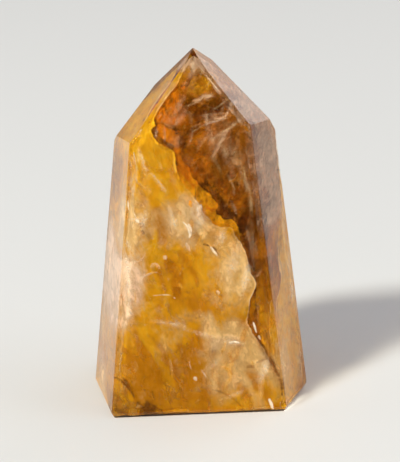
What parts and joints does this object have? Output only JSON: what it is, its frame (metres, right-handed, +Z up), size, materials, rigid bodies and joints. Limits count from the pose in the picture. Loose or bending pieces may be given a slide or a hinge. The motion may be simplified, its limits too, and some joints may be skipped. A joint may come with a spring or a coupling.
{
  "type": "golden healer quartz tower",
  "caption": "Free-standing polished quartz crystal tower with tapering faceted sides, a faceted point and a bevelled flat foot, stained golden by iron.",
  "frame": {"origin": "middle of the bounding box in plan, on the surface that the foot rests on", "axes": "+Z up along the crystal towards its point; -Y is the way the broad front face looks; +X to the right of that face"},
  "size_m": [0.045, 0.0344, 0.0752],
  "materials": {
    "golden_quartz": "polished clear to milky quartz, golden to amber brown inside from iron oxide veils"
  },
  "bodies": {
    "root": {"quartz_tower": "golden_quartz"}
  },
  "joints": []
}
